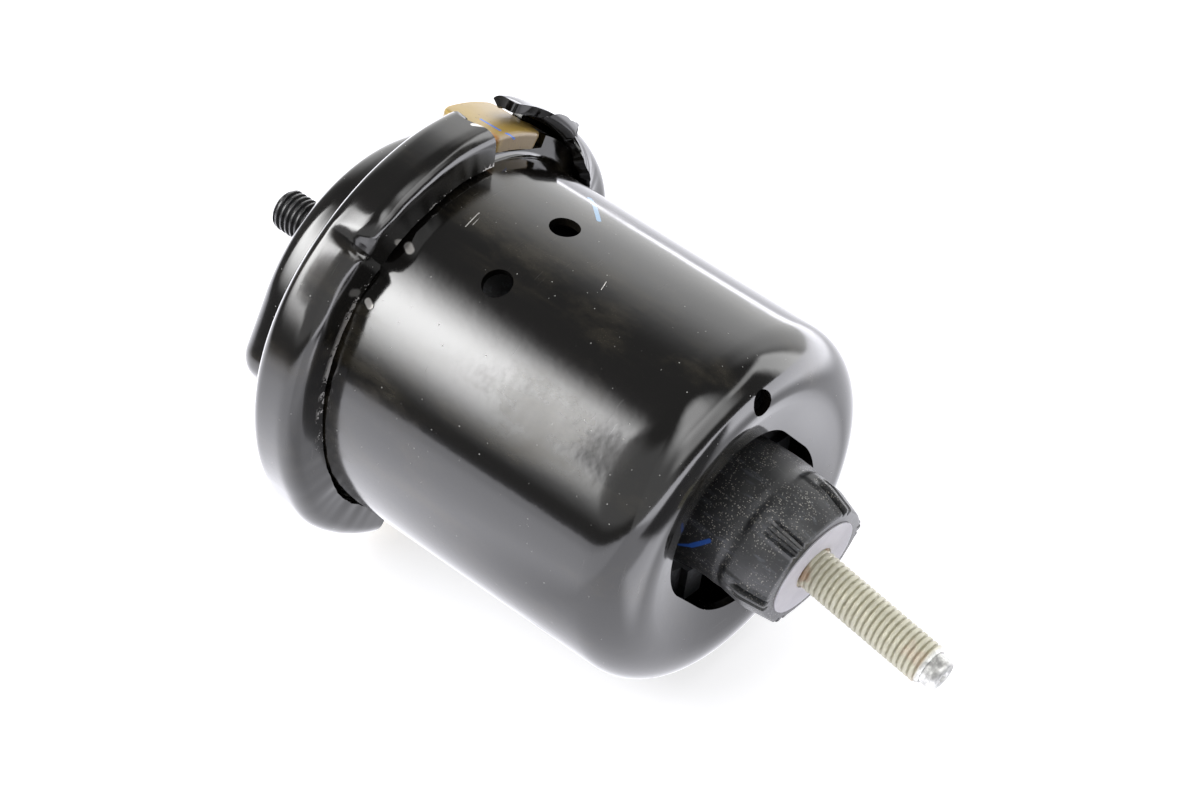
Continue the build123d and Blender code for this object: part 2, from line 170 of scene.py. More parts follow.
class Bench:
    """The nodes of one material, lamp, floor or world."""

    def __init__(self, tree: bpy.types.NodeTree) -> None:
        """Clears the node tree that it fills."""
        self.tree = tree
        tree.nodes.clear()

    def node(
        self,
        kind: str,
        inputs: Optional[Mapping[Union[str, int], object]] = None,
        output: Union[str, int] = 0,
        **settings: object,
    ) -> Wire:
        """Adds a node.

        Args:
            kind: the node's type.
            inputs: a number, colour or wire for each named or numbered socket.
            output: the socket that is handed back.
            **settings: the node's own settings, which are set first.

        Returns:
            The wire of the asked output.
        """
        made = self.tree.nodes.new(kind)
        for name, value in settings.items():
            setattr(made, name, value)
        for name, value in (inputs or {}).items():
            socket = made.inputs[name]
            if isinstance(value, Wire):
                self.tree.links.new(value.socket, socket)
            else:
                socket.default_value = value
        return Wire(self, made.outputs[output]) if made.outputs else None

    def maths(self, operation: str, *values: Number) -> Wire:
        """Adds a Math node."""
        return self.node("ShaderNodeMath", dict(enumerate(values)), operation=operation)

    def mix(self, share: Number, first: object, second: object) -> Wire:
        """Blends two colours, from the first at 0 to the second at 1."""
        inputs = {"Factor": share, 6: self.opaque(first), 7: self.opaque(second)}
        return self.node("ShaderNodeMix", inputs, output=2, data_type="RGBA")

    def layered(self, base: object, *layers: tuple[Number, object]) -> Wire:
        """Blends layers of colour on a base, one after another.

        Args:
            base: the lowest colour.
            *layers: a share and a colour for each.

        Returns:
            The blended colour.
        """
        for share, colour in layers:
            base = self.mix(share, base, colour)
        return base

    @staticmethod
    def opaque(colour: object) -> object:
        """Adds alpha to a plain colour and leaves a wire as it is."""
        return colour if isinstance(colour, Wire) else (*colour, 1.0)

    def vector(self, operation: str, *vectors: object, output: str = "Value") -> Wire:
        """Adds a Vector Math node, whose output is Value or Vector."""
        return self.node("ShaderNodeVectorMath", dict(enumerate(vectors)), output=output, operation=operation)

    def axis(self, name: str) -> Wire:
        """The point's X, Y or Z."""
        return self.node("ShaderNodeSeparateXYZ", {0: self.place()}, output=name)

    def ray(self, kind: str) -> Wire:
        """1 for rays of a kind, such as Is Camera Ray."""
        return self.node("ShaderNodeLightPath", output=kind)

    def place(self) -> Wire:
        """The point on the piece, in metres, in the row frame."""
        return self.node("ShaderNodeTexCoord", output="Object")

    def stretched(self, scale: Sequence[float], turn: Sequence[float] = (0, 0, 0)) -> Wire:
        """The point, turned and stretched.

        Args:
            scale: factor on each axis.
            turn: angles about the axes, in degrees.

        Returns:
            The new coordinates.
        """
        angles = tuple(math.radians(angle) for angle in turn)
        return self.node(
            "ShaderNodeMapping",
            {"Vector": self.place(), "Rotation": angles, "Scale": tuple(scale)},
        )

    def grain(self, cells: float, detail: float = 3.0, rough: float = 0.5, at: Optional[Wire] = None) -> Wire:
        """Noise between about 0.2 and 0.8, with so many features per metre, at the point or elsewhere."""
        inputs = {"Vector": at or self.place(), "Scale": cells, "Detail": detail, "Roughness": rough}
        return self.node("ShaderNodeTexNoise", inputs)

    def specks(self, cells: float, size: float, share: float) -> Wire:
        """Scattered dots.

        Args:
            cells: cells per metre, with at most one dot in each.
            size: radius of a dot as a share of its cell.
            share: how many of the cells hold a dot.

        Returns:
            1 in a dot and 0 outside.
        """
        inputs = {"Vector": self.place(), "Scale": cells}
        distance = self.node("ShaderNodeTexVoronoi", inputs, output="Distance")
        colour = self.node("ShaderNodeTexVoronoi", inputs, output="Color")
        chosen = self.node("ShaderNodeSeparateColor", {0: colour})
        held = self.maths("LESS_THAN", chosen, share)
        return distance.within(size, size * SOLID_SHARE) * held

    def stroke(self, start: Sequence[float], end: Sequence[float], width: float) -> Wire:
        """A straight mark between two points.

        Args:
            start: one end, in millimetres.
            end: the other end, in millimetres.
            width: half the mark's width, in millimetres.

        Returns:
            1 on the mark and 0 off it.
        """
        first = Vector(start) * MM
        span = Vector(end) * MM - first
        offset = self.vector("SUBTRACT", self.place(), tuple(first), output="Vector")
        along = self.vector("DOT_PRODUCT", offset, tuple(span / span.length_squared))
        share = self.node("ShaderNodeClamp", {0: along})
        nearest = self.vector("MULTIPLY", tuple(span), share, output="Vector")
        return self.vector("DISTANCE", offset, nearest).within(width * MM, width * MM * SOLID_SHARE)

    def relief(self, height: Wire, depth: float) -> Wire:
        """A normal bumped by a pattern, to a depth in millimetres."""
        return self.node("ShaderNodeBump", {"Strength": 1.0, "Distance": depth * MM, "Height": height})

    def surface(self, shader: Wire) -> None:
        """Ends the tree with a shader."""
        self.node("ShaderNodeOutputMaterial", {"Surface": shader})


@dataclass(frozen=True)
class Finish:
    """What the finishes share: a name, pen strokes and a way to make the material."""

    name: str
    ink: tuple[Mark, ...] = ()
    ink_colour: Colour = (0.03, 0.12, 0.5)
    ink_share: float = 0.9

    def material(self) -> bpy.types.Material:
        """Makes the material from what dress sets on its main shader.

        Returns:
            The material.
        """
        made = bpy.data.materials.new(self.name)
        made.use_nodes = True
        bench = Bench(made.node_tree)
        bench.surface(bench.node("ShaderNodeBsdfPrincipled", self.dress(bench)))
        return made

    def dress(self, bench: Bench) -> dict[str, object]:
        """Gives the main shader's inputs."""
        raise NotImplementedError

    def inked(self, bench: Bench, base: Wire) -> Wire:
        """Draws the pen strokes on a colour."""
        strokes = (bench.stroke(*mark) * self.ink_share for mark in self.ink)
        return bench.layered(base, *((stroke, self.ink_colour) for stroke in strokes))


@dataclass(frozen=True)
class BlackCoat(Finish):
    """Black dip coat on drawn sheet, with stains, dust, scratches and bare chips."""

    colour: Colour = (0.0045, 0.004, 0.0036)
    film: Colour = (0.046, 0.039, 0.026)
    bare: Colour = (0.62, 0.6, 0.58)
    roughness: float = 0.08
    haze: float = 0.5
    smears: float = 0.35
    dust: float = 0.06
    dust_colour: Colour = (0.42, 0.42, 0.4)
    chips: Optional[Callable[[Bench], Wire]] = None
    marks: tuple[Mark, ...] = ()
    ink_share: float = 0.8

    def dress(self, bench: Bench) -> dict[str, object]:
        """Gives the main shader's inputs.

        Args:
            bench: the material's nodes.

        Returns:
            A value or wire for each input.
        """
        cloud = bench.grain(45, 4, 0.6)
        stain = bench.grain(28, 6, 0.68, bench.stretched((1.5, 1.5, 0.7)))
        fine = bench.grain(900, 2, 0.5)
        hair = bench.grain(80, 2, 0.5, bench.stretched((1, 1, 40), (20, 35, 0)))
        scratch = hair.within(0.69, 0.73) * cloud.within(0.52, 0.62)
        smear = bench.grain(130, 3, 0.65, bench.stretched((1, 1, 0.12))).within(0.5, 0.72)
        smear = smear * stain.within(0.4, 0.55) * self.smears
        uneven = bench.grain(1400, 3, 0.7)
        grit = bench.specks(900, 0.2, self.dust) * uneven.within(0.4, 0.6)
        dots = (bench.specks(380, 0.09, self.dust) * uneven.within(0.35, 0.5)).larger(grit)
        chip = scratch * 0
        for mark in self.marks:
            chip = chip.larger(bench.stroke(*mark))
        if self.chips:
            chip = chip.larger(self.chips(bench))
        dull = stain.within(0.5, 0.68) * self.haze
        base = bench.layered(
            self.colour,
            (dull, self.film),
            (smear, self.film),
            ((dots * 0.7).larger(scratch * 0.06), self.dust_colour),
            (chip, self.bare),
        )
        rough = self.roughness + (cloud - 0.5) * 0.04 + dull * 0.22 + smear * 0.12 + dots * 0.4 + chip * 0.25
        height = cloud * 0.5 + fine * 0.02 - scratch * 0.02 - chip * 0.3
        return {
            "Base Color": self.inked(bench, base),
            "Metallic": chip * 0.9,
            "Roughness": rough,
            "IOR": 1.5,
            "Normal": bench.relief(height, 0.12),
        }


@dataclass(frozen=True)
class PlainMetal(Finish):
    """Bare or plated metal with soft blotches and fine grain."""

    colour: Colour = (0.5, 0.5, 0.5)
    stain: Colour = (0.3, 0.3, 0.3)
    roughness: float = 0.4
    metallic: float = 1.0
    blotch: float = 0.4
    depth: float = 0.02

    def dress(self, bench: Bench) -> dict[str, object]:
        """Gives the main shader's inputs.

        Args:
            bench: the material's nodes.

        Returns:
            A value or wire for each input.
        """
        cloud = bench.grain(160, 4, 0.6)
        fine = bench.grain(2500, 2, 0.5)
        share = cloud.within(0.4, 0.7) * self.blotch
        return {
            "Base Color": bench.mix(share, self.colour, self.stain),
            "Metallic": self.metallic,
            "Roughness": self.roughness + (cloud - 0.5) * 0.2 + (fine - 0.5) * 0.1,
            "Normal": bench.relief(fine, self.depth),
        }


BLACK_PHOSPHATE = PlainMetal(
    "black_phosphate",
    colour=(0.012, 0.012, 0.0125),
    stain=(0.04, 0.04, 0.042),
    roughness=0.28,
    metallic=0.0,
)


@dataclass(frozen=True)
class ZincThread(Finish):
    """Dull yellow zinc plate, with painted shade darkening the thread's roots, rust at the core and a bare
    pilot end.
    """

    colour: Colour = (0.62, 0.6, 0.48)
    # Painted shade: the darker colour laid into the thread's roots
    root: Colour = (0.3, 0.28, 0.19)
    bare: Colour = (0.62, 0.62, 0.6)
    rust: Colour = (0.36, 0.15, 0.05)
    red: Colour = (0.5, 0.2, 0.14)
    dull: Colour = (0.5, 0.48, 0.37)
    worn: Colour = (0.74, 0.73, 0.66)
    shade: Colour = (0.3, 0.3, 0.29)
    crest: float = 5.0
    depth: float = 0.65
    thread_length: float = 33.6

    def dress(self, bench: Bench) -> dict[str, object]:
        """Gives the main shader's inputs.

        Args:
            bench: the material's nodes.

        Returns:
            A value or wire for each input.
        """
        away = bench.vector("SUBTRACT", bench.place(), tuple(CORE_END * MM), output="Vector")
        along = bench.vector("DOT_PRODUCT", away, tuple(LEAN))
        distance = bench.vector("LENGTH", away)
        reach = (distance * distance - along * along) ** 0.5
        # Painted shade: the thread's roots are darkened by their depth below the crest, where shade falls
        painted_root_shade = reach.within((self.crest - 0.15) * MM, (self.crest - self.depth) * MM)
        cloud = bench.grain(190, 4, 0.6)
        fine = bench.grain(1500, 3, 0.6)
        worn = bench.grain(480, 4, 0.7)
        tip = along.within((self.thread_length - 1.0) * MM, (self.thread_length + 0.2) * MM)
        foot = along.within(3.5 * MM, 0.5 * MM) * cloud.within(0.45, 0.6)
        blush = along.within(26 * MM, 29 * MM) * (1 - tip) * bench.grain(120, 2).within(0.52, 0.62)
        silver = bench.mix(worn.within(0.38, 0.62), self.shade, self.bare)
        base = bench.layered(
            self.colour,
            (cloud.within(0.35, 0.7) * 0.3, self.dull),
            (painted_root_shade * 0.6, self.root),
            (foot * 0.55, self.rust),
            (blush * 0.18, self.red),
            (worn.within(0.58, 0.7) * 0.5, self.worn),
            (tip, silver),
        )
        return {
            "Base Color": base,
            "Metallic": 0.1 + tip * 0.35,
            "Roughness": 0.5 - tip * 0.08 + (fine - 0.5) * 0.2,
            "Normal": bench.relief(fine + cloud * 0.5, 0.03),
        }


@dataclass(frozen=True)
class Rubber(Finish):
    """Moulded rubber, semi-matte, with dust and rub marks."""

    colour: Colour = (0.013, 0.0135, 0.0145)
    bloom: Colour = (0.055, 0.057, 0.062)
    roughness: float = 0.5
    dust: float = 0.0
    dust_heights: tuple[float, float] = (100.0, 136.0)
    dust_colour: Colour = (0.42, 0.4, 0.36)
    rub: Colour = (0.12, 0.13, 0.15)

    def dress(self, bench: Bench) -> dict[str, object]:
        """Gives the main shader's inputs.

        Args:
            bench: the material's nodes.

        Returns:
            A value or wire for each input.
        """
        cloud = bench.grain(120, 5, 0.65)
        fine = bench.grain(1800, 3, 0.6)
        rubbed = bench.grain(150, 3, 0.6, bench.stretched((6, 6, 1), (10, 8, 0)))
        base = bench.layered(
            self.colour,
            (cloud.within(0.45, 0.75) * 0.6, self.bloom),
            (rubbed.within(0.55, 0.75) * 0.45, self.rub),
        )
        if self.dust:
            low, high = self.dust_heights
            height = bench.axis("Z")
            near = height.within(low * MM, (low + 6) * MM) * height.within(high * MM, (high - 8) * MM)
            uneven = bench.grain(1600, 3, 0.7).within(0.42, 0.56) * cloud.within(0.36, 0.5)
            grit = bench.specks(2300, 0.42, self.dust).larger(bench.specks(1100, 0.26, self.dust)) * uneven
            base = bench.mix(grit * near * 0.85, base, self.dust_colour)
        return {
            "Base Color": self.inked(bench, base),
            "Roughness": self.roughness + (cloud - 0.5) * 0.2,
            "Normal": bench.relief(fine * 0.3 + cloud, 0.08),
        }


@dataclass(frozen=True)
class Nylon(Finish):
    """Tan moulded nylon, browner at its lower edge, with pen strokes."""

    colour: Colour = (0.4, 0.27, 0.07)
    edge: Colour = (0.2, 0.14, 0.08)
    amber: Colour = (0.42, 0.16, 0.02)
    pale: Colour = (0.47, 0.34, 0.11)
    speck: Colour = (0.08, 0.05, 0.03)
    burn: Mark = ((-40.5, -29.0, 25.5), (-38.5, -30.0, 27.5), 3.4)
    edge_heights: tuple[float, float] = (25.6, 26.8)
    ink_colour: Colour = (0.03, 0.18, 0.75)

    def dress(self, bench: Bench) -> dict[str, object]:
        """Gives the main shader's inputs.

        Args:
            bench: the material's nodes.

        Returns:
            A value or wire for each input.
        """
        cloud = bench.grain(110, 4, 0.6)
        fine = bench.grain(1200, 3, 0.6)
        start, end = self.edge_heights
        low = bench.axis("Z").within(start * MM, end * MM) * cloud.within(0.3, 0.5)
        specks = bench.specks(1100, 0.3, 0.25) * cloud.within(0.42, 0.55)
        base = bench.layered(
            self.colour,
            (cloud.within(0.4, 0.75) * 0.5, self.pale),
            (low * 0.7, self.edge),
            (bench.stroke(*self.burn) * 0.8, self.amber),
            (specks * 0.5, self.speck),
        )
        return {
            "Base Color": self.inked(bench, base),
            "Roughness": 0.38 + (cloud - 0.5) * 0.2,
            "Normal": bench.relief(fine, 0.03),
        }


class Workshop:
    """Modelling steps that the pieces share."""

    @staticmethod
    def clear() -> None:
        """Leaves nothing selected."""
        bpy.ops.object.select_all(action="DESELECT")

    @staticmethod
    def pick(piece: bpy.types.Object) -> None:
        """Makes a piece the only one selected.

        Args:
            piece: the piece.
        """
        Workshop.clear()
        piece.select_set(True)
        bpy.context.view_layer.objects.active = piece

    @staticmethod
    def add(name: str, data: bpy.types.ID) -> bpy.types.Object:
        """Puts a new object in the scene.

        Args:
            name: its name.
            data: its mesh, lamp or camera.

        Returns:
            The object.
        """
        made = bpy.data.objects.new(name, data)
        bpy.context.scene.collection.objects.link(made)
        return made

    @staticmethod
    def line(name: str, outline: Sequence[Point]) -> bpy.types.Object:
        """Draws an open line of (radius, height) points in the XZ plane, by extruding a point.

        Args:
            name: the new piece's name.
            outline: the points, in millimetres.

        Returns:
            The line.
        """
        Workshop.clear()
        bpy.ops.mesh.primitive_plane_add(size=MM)
        piece = bpy.context.object
        piece.name = name
        bpy.ops.object.mode_set(mode="EDIT")
        bpy.ops.mesh.merge(type="CENTER")
        radius, height = outline[0]
        bpy.ops.transform.translate(value=(radius * MM, 0, height * MM))
        for before, after in zip(outline, outline[1:]):
            shift = ((after[0] - before[0]) * MM, 0, (after[1] - before[1]) * MM)
            bpy.ops.mesh.extrude_vertices_move(TRANSFORM_OT_translate={"value": shift})
        bpy.ops.object.mode_set(mode="OBJECT")
        return piece

    @staticmethod
    def lathe(name: str, outline: Sequence[Point], steps: int) -> bpy.types.Object:
        """Spins an outline about Z.

        Args:
            name: the new piece's name.
            outline: (radius, height) points, in millimetres.
            steps: divisions of the full turn.

        Returns:
            The spun piece.
        """
        piece = Workshop.line(name, outline)
        bpy.ops.object.mode_set(mode="EDIT")
        bpy.ops.mesh.select_all(action="SELECT")
        bpy.ops.mesh.spin(steps=steps, angle=FULL_TURN, center=(0, 0, 0), axis=(0, 0, 1))
        bpy.ops.mesh.select_all(action="SELECT")
        bpy.ops.mesh.remove_doubles(threshold=MM * 1e-3)
        bpy.ops.mesh.normals_make_consistent(inside=False)
        bpy.ops.object.mode_set(mode="OBJECT")
        return piece

    @staticmethod
    def rod(name: str, radius: float, start: Vector, end: Vector, sides: int = 48) -> bpy.types.Object:
        """A plain cylinder between two points, as a cutter.

        Args:
            name: its name.
            radius: in millimetres.
            start: centre of one end, in millimetres.
            end: centre of the other end, in millimetres.
            sides: number of sides.

        Returns:
            The cylinder, with its place in its mesh.
        """
        Workshop.clear()
        span = end - start
        bpy.ops.mesh.primitive_cylinder_add(
            vertices=sides,
            radius=radius * MM,
            depth=span.length * MM,
            location=(start + end) / 2 * MM,
            rotation=span.to_track_quat("Z", "Y").to_euler(),
        )
        made = bpy.context.object
        made.name = name
        bpy.ops.object.transform_apply(location=True, rotation=True, scale=True)
        return made

    @staticmethod
    def block(name: str, corner: Vector, opposite: Vector) -> bpy.types.Object:
        """A plain block between two corners, as a cutter.

        Args:
            name: its name.
            corner: its lowest corner, in millimetres.
            opposite: its highest corner, in millimetres.

        Returns:
            The block, with its place in its mesh.
        """
        Workshop.clear()
        middle = (corner + opposite) / 2 * MM
        bpy.ops.mesh.primitive_cube_add(size=1, location=middle, scale=(opposite - corner) * MM)
        made = bpy.context.object
        made.name = name
        bpy.ops.object.transform_apply(location=True, rotation=True, scale=True)
        return made

    @staticmethod
    def cut(piece: bpy.types.Object, cutter: bpy.types.Object) -> None:
        """Cuts a piece with another, which is then deleted."""
        Workshop.modify(piece, "BOOLEAN", operation="DIFFERENCE", object=cutter, solver="EXACT")
        bpy.data.objects.remove(cutter)

    @staticmethod
    def modify(piece: bpy.types.Object, kind: str, **settings: object) -> None:
        """Adds a modifier and applies it.

        Args:
            piece: the piece.
            kind: the modifier's type.
            **settings: its settings.
        """
        Workshop.pick(piece)
        modifier = piece.modifiers.new(kind.title(), kind)
        for name, value in settings.items():
            setattr(modifier, name, value)
        bpy.ops.object.modifier_apply(modifier=modifier.name)

    @staticmethod
    def press(piece: bpy.types.Object, shape: Callable[[Vector], Vector]) -> None:
        """Moves each vertex to where a function puts it.

        Args:
            piece: the piece.
            shape: gives the new place of a point, both in millimetres.
        """
        for vertex in piece.data.vertices:
            vertex.co = shape(vertex.co / MM) * MM
        piece.data.update()

    @staticmethod
    def move(piece: bpy.types.Object, matrix: Matrix) -> None:
        """Moves the mesh by a matrix in millimetres, and leaves the object at the origin."""
        Workshop.press(piece, lambda point: matrix @ point)

    @staticmethod
    def smooth(piece: bpy.types.Object, angle: float = 30.0) -> None:
        """Shades a piece smooth, up to an angle in degrees between faces."""
        Workshop.pick(piece)
        bpy.ops.object.shade_smooth_by_angle(angle=math.radians(angle))

    @staticmethod
    def rounded(corners: Sequence[Point], radii: Sequence[float], pitch: float) -> list[Point]:
        """Points along a path whose inner corners are rounded.

        Args:
            corners: the path's corners.
            radii: a radius for each inner corner.
            pitch: largest distance between two points.

        Returns:
            The points, from the first corner to the last.
        """
        points = [Vector(corners[0])]
        for before, corner, after, radius in zip(corners, corners[1:], corners[2:], radii):
            back = (Vector(before) - Vector(corner)).normalized()
            ahead = (Vector(after) - Vector(corner)).normalized()
            half = back.angle(ahead) / 2
            middle = Vector(corner) + (back + ahead).normalized() * radius / math.sin(half)
            start = Vector(corner) + back * radius / math.tan(half) - middle
            turn = math.pi - 2 * half
            sign = 1 if back.x * ahead.y - back.y * ahead.x < 0 else -1
            count = max(3, math.ceil(max(turn * radius / pitch, math.degrees(turn) / ARC_STEP)))
            for index in range(count + 1):
                angle = sign * turn * index / count
                turned = Matrix.Rotation(angle, 2) @ start
                points.append(middle + turned)
        points.append(Vector(corners[-1]))
        filled = [points[0]]
        for before, after in zip(points, points[1:]):
            parts = max(1, math.ceil((after - before).length / pitch))
            for index in range(parts):
                filled.append(before.lerp(after, (index + 1) / parts))
        return [(point.x, point.y) for point in filled]

    @staticmethod
    def finish(piece: bpy.types.Object, finish: Finish, slot: str, nodes: Iterable[str]) -> None:
        """Dresses a piece, puts it on the mount and reports it.

        Args:
            piece: the finished mesh.
            finish: its material.
            slot: the name of the piece's material slot; not used.
            nodes: the CAD nodes that it stands for.
        """
        piece.data.materials.clear()
        piece.data.materials.append(finish.material())
        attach(piece, BODY)
        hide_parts(*nodes)
        LOG.info("%s: %d faces", piece.name, len(piece.data.polygons))


@dataclass
class Can:
    """Deep-drawn can with a dished face, an open slot and draught holes."""

    radius: float = 44.75
    wall: float = 2.0
    height: float = 117.1
    shoulder: float = 11.5
    slope: float = 11.0
    foot: float = 1.5
    flange_radius: float = 50.3
    flange_top: float = 26.8
    slot_width: float = 43.0
    slot_straight: float = 12.0
    hole_radius: float = 3.6
    hole_height: float = 54.6
    hole_angles: tuple[float, ...] = (251.2, 222.5)
    drain_radius: float = 2.9
    drain_reach: float = 36.6
    drain_angle: float = 230.0
    notch_angles: tuple[float, ...] = (204.0, 36.0)
    notch_floor: float = 46.0
    notch_width: float = 21.5
    notch_rise: float = 0.7
    cutter_rise: float = 30.0
    cutter_depth: float = 20.0
    drill_reach: tuple[float, float] = (30.0, 60.0)
    wander: float = 0.07
    wander_cells: float = 0.022
    path_pitch: float = 3.0
    smooth_angle: float = 35.0
    steps: int = 240

    def shell(self) -> bpy.types.Object:
        """Spins the can's wall and closes it to a sheet.

        Returns:
            The can without its openings.
        """
        rise = math.tan(math.radians(self.slope))
        corner = self.height + self.shoulder * (rise + math.hypot(1, rise) - 1)
        reach = self.slot_width / 4
        path = [
            (self.flange_radius, self.flange_top),
            (self.radius, self.flange_top),
            (self.radius, corner),
            (reach, corner - (self.radius - reach) * rise),
        ]
        outline = Workshop.rounded(path, [self.foot, self.shoulder], self.path_pitch)
        can = Workshop.lathe("can_shell", outline, self.steps)
        Workshop.press(can, self.dent)
        Workshop.modify(can, "SOLIDIFY", thickness=self.wall * MM, offset=-1.0)
        return can

    def dent(self, point: Vector) -> Vector:
        """Lets the wall wander a little, as drawn sheet does.

        Args:
            point: a vertex of the can, in millimetres.

        Returns:
            Its new place.
        """
        reach = math.hypot(point.x, point.y)
        if reach < self.radius - self.shoulder:
            return point
        wander = noise.noise(point * self.wander_cells) * self.wander
        return widened(point, (reach + wander) / reach)

    def cut(self, can: bpy.types.Object) -> None:
        """Cuts the slot, the round holes and the notches for the tabs.

        Args:
            can: the closed can.
        """
        top = self.height + self.cutter_rise
        low = self.height - self.cutter_depth
        offset = Vector((0, self.slot_straight / 2, 0))
        radius = self.slot_width / 2
        slot = Workshop.rod("slot_cutter", radius, polar(0, 0, low), polar(0, 0, top), 96)
        Workshop.press(slot, lambda point: point + offset if point.y > 0 else point - offset)
        Workshop.cut(can, slot)
        for angle in self.hole_angles:
            inside, outside = (polar(reach, angle, self.hole_height) for reach in self.drill_reach)
            Workshop.cut(can, Workshop.rod("hole_cutter", self.hole_radius, inside, outside))
        below, above = (polar(self.drain_reach, self.drain_angle, height) for height in (low, top))
        Workshop.cut(can, Workshop.rod("drain_cutter", self.drain_radius, below, above))
        half = self.notch_width / 2
        corner = Vector((self.notch_floor, -half, self.flange_top - 2 * self.wall))
        opposite = Vector((self.flange_radius + 5, half, self.flange_top + self.notch_rise))
        for angle in self.notch_angles:
            notch = Workshop.block("notch_cutter", corner, opposite)
            Workshop.move(notch, Matrix.Rotation(math.radians(angle), 4, "Z"))
            Workshop.cut(can, notch)

    def build(self) -> None:
        """Makes, dresses and places the can."""
        can = self.shell()
        self.cut(can)
        Workshop.smooth(can, self.smooth_angle)
        marks = (
            ((-21.2, -39.4, 38.7), (-25.4, -36.9, 38.2), 0.14),
            ((-22.4, -38.8, 39.6), (-24.6, -37.5, 39.3), 0.11),
            ((-25.4, -36.9, 73.9), (-27.5, -35.3, 73.1), 0.1),
            ((-24.6, -37.5, 72.4), (-26.0, -36.5, 71.9), 0.08),
            ((-10.8, -43.5, 31.5), (-10.2, -43.7, 32.6), 1.2),
            ((4.3, -44.6, 31.2), (4.9, -44.6, 32.3), 1.0),
        )
        ink = (
            ((-42.0, -15.5, 48.0), (-41.2, -17.6, 51.0), 0.8),
            ((-41.2, -17.6, 51.0), (-38.6, -22.8, 56.8), 0.7),
        )
        pale_blue = (0.25, 0.5, 0.8)
        finish = BlackCoat("black_coat_on_can", roughness=0.1, marks=marks, ink=ink, ink_colour=pale_blue)
        Workshop.finish(can, finish, "can", ["outer_can"])


@dataclass(frozen=True)
class Dent:
    """A dent in the roll beside its pinch, or a swelling where its depths are negative."""

    offset: float
    width: float
    inward: float
    downward: float


